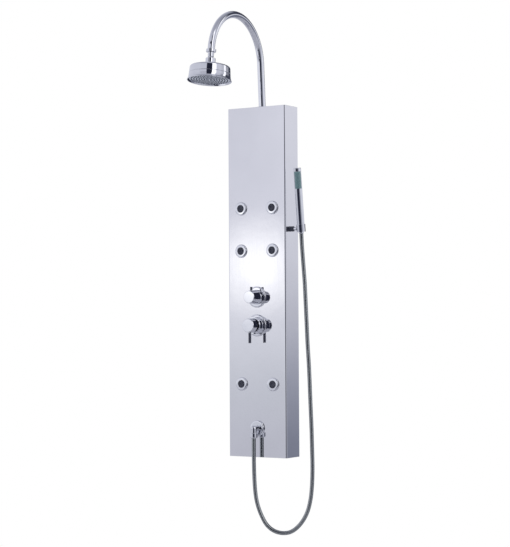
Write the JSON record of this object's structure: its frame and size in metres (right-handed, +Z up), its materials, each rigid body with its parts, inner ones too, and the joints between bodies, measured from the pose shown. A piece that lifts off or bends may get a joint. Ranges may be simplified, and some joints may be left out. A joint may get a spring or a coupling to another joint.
{
  "type": "rainfall shower column",
  "caption": "Wall-hung steel shower panel with gooseneck arm, tilting rain head, body jets, diverter, mixer, and a hand shower on a metal hose in a side holder.",
  "frame": {"origin": "centre of the upper wall bracket's back face, which lies in the wall plane", "axes": "+X to the right seen from the front, +Y into the wall, +Z up"},
  "size_m": [0.313, 0.4509, 1.7702],
  "materials": {
    "panel_steel": "polished to a soft satin, folded sheet",
    "zinc_steel": "zinc plated",
    "chrome": "bright plated",
    "brass": "as machined",
    "copper": "drawn tube",
    "hose_steel": "interlocked metal strip",
    "nozzle_dark": "satin",
    "seat_plastic": "low friction",
    "spray_face": "satin plated",
    "window_teal": "tinted clear"
  },
  "bodies": {
    "panel": {"arm_end_collar": "chrome", "arm_flange": "chrome", "arm_socket": "brass", "ball_stem": "chrome", "cold_inlet": "brass", "diverter_escutcheon": "chrome", "diverter_valve_body": "brass", "gooseneck_arm": "chrome", "holder_stub": "nozzle_dark", "hose_loop": "hose_steel", "hose_outlet_nut": "chrome", "hot_inlet": "brass", "jet_feed_pipe_left": "copper", "jet_feed_pipe_right": "copper", "jet_flange_bottom_left": "chrome", "jet_flange_bottom_right": "chrome", "jet_flange_middle_left": "chrome", "jet_flange_middle_right": "chrome", "jet_flange_top_left": "chrome", "jet_flange_top_right": "chrome", "lower_hanging_rail": "zinc_steel", "lower_wall_bracket": "zinc_steel", "lower_wall_screw_left": "zinc_steel", "lower_wall_screw_right": "zinc_steel", "mixer_escutcheon": "chrome", "mixer_sleeve": "chrome", "mixer_to_diverter_pipe": "copper", "mixer_valve_body": "brass", "outlet_elbow": "chrome", "outlet_flange": "chrome", "outlet_pipe": "copper", "panel_casing": "panel_steel", "riser_pipe": "copper", "upper_hanging_rail": "zinc_steel", "upper_wall_bracket": "zinc_steel", "upper_wall_screw_left": "zinc_steel", "upper_wall_screw_right": "zinc_steel"},
    "ball_seat": {"ball_seat": "seat_plastic"},
    "rain_head": {"swivel_nut": "chrome", "head_shell": "chrome", "head_lip_ring": "chrome", "spray_plate": "spray_face"},
    "diverter_handle": {"diverter_spindle": "brass", "diverter_knob": "chrome", "diverter_pin": "nozzle_dark"},
    "mixer_cartridge": {"mixer_spindle": "nozzle_dark"},
    "mixer_lever": {"mixer_handle": "chrome", "mixer_lever_pin": "nozzle_dark"},
    "holder_arm": {"holder_cup": "chrome"},
    "hand_shower": {"handset_body": "chrome", "handset_spray_window": "window_teal", "handset_cap": "chrome", "hose_handset_ferrule": "chrome", "hose_top_end": "hose_steel"},
    "jet_top_left": {"jet_nozzle_top_left": "nozzle_dark"},
    "jet_top_right": {"jet_nozzle_top_right": "nozzle_dark"},
    "jet_middle_left": {"jet_nozzle_middle_left": "nozzle_dark"},
    "jet_middle_right": {"jet_nozzle_middle_right": "nozzle_dark"},
    "jet_bottom_left": {"jet_nozzle_bottom_left": "nozzle_dark"},
    "jet_bottom_right": {"jet_nozzle_bottom_right": "nozzle_dark"}
  },
  "joints": [
    {"name": "head_tilt_fore_aft", "type": "hinge", "parent": "panel", "child": "ball_seat", "pos_m": [0, -0.36957, 0.2435], "axis": [1, 0, 0], "range_deg": [-10, 10]},
    {"name": "head_tilt_sideways", "type": "hinge", "parent": "ball_seat", "child": "rain_head", "pos_m": [0, -0.36957, 0.2435], "axis": [0, 0.9936, -0.1132], "range_deg": [-10, 10]},
    {"name": "diverter_turn", "type": "hinge", "parent": "panel", "child": "diverter_handle", "pos_m": [0, -0.085, -0.533], "axis": [0, -1, 0], "range_deg": [-60, 60]},
    {"name": "mixer_temperature", "type": "hinge", "parent": "panel", "child": "mixer_cartridge", "pos_m": [0, -0.085, -0.63], "axis": [0, -1, 0], "range_deg": [-50, 50]},
    {"name": "mixer_flow", "type": "hinge", "parent": "mixer_cartridge", "child": "mixer_lever", "pos_m": [0, -0.101, -0.63], "axis": [-1, 0, 0], "range_deg": [0, 12]},
    {"name": "holder_swivel", "type": "hinge", "parent": "panel", "child": "holder_arm", "pos_m": [0.115, -0.056, -0.302], "axis": [1, 0, 0], "range_deg": [-15, 10], "deforming": ["hose_loop"]},
    {"name": "handset_lift", "type": "slide", "parent": "holder_arm", "child": "hand_shower", "axis": [0, -0.1184, 0.993], "range_m": [0, 0.06], "deforming": ["hose_top_end"]},
    {"name": "jet_tilt_top_left", "type": "hinge", "parent": "panel", "child": "jet_top_left", "pos_m": [-0.0625, -0.085, -0.228], "axis": [1, 0, 0], "range_deg": [-12, 12]},
    {"name": "jet_tilt_top_right", "type": "hinge", "parent": "panel", "child": "jet_top_right", "pos_m": [0.0625, -0.085, -0.228], "axis": [1, 0, 0], "range_deg": [-12, 12]},
    {"name": "jet_tilt_middle_left", "type": "hinge", "parent": "panel", "child": "jet_middle_left", "pos_m": [-0.0625, -0.085, -0.374], "axis": [1, 0, 0], "range_deg": [-12, 12]},
    {"name": "jet_tilt_middle_right", "type": "hinge", "parent": "panel", "child": "jet_middle_right", "pos_m": [0.0625, -0.085, -0.374], "axis": [1, 0, 0], "range_deg": [-12, 12]},
    {"name": "jet_tilt_bottom_left", "type": "hinge", "parent": "panel", "child": "jet_bottom_left", "pos_m": [-0.0625, -0.085, -0.831], "axis": [1, 0, 0], "range_deg": [-12, 12]},
    {"name": "jet_tilt_bottom_right", "type": "hinge", "parent": "panel", "child": "jet_bottom_right", "pos_m": [0.0625, -0.085, -0.831], "axis": [1, 0, 0], "range_deg": [-12, 12]}
  ]
}
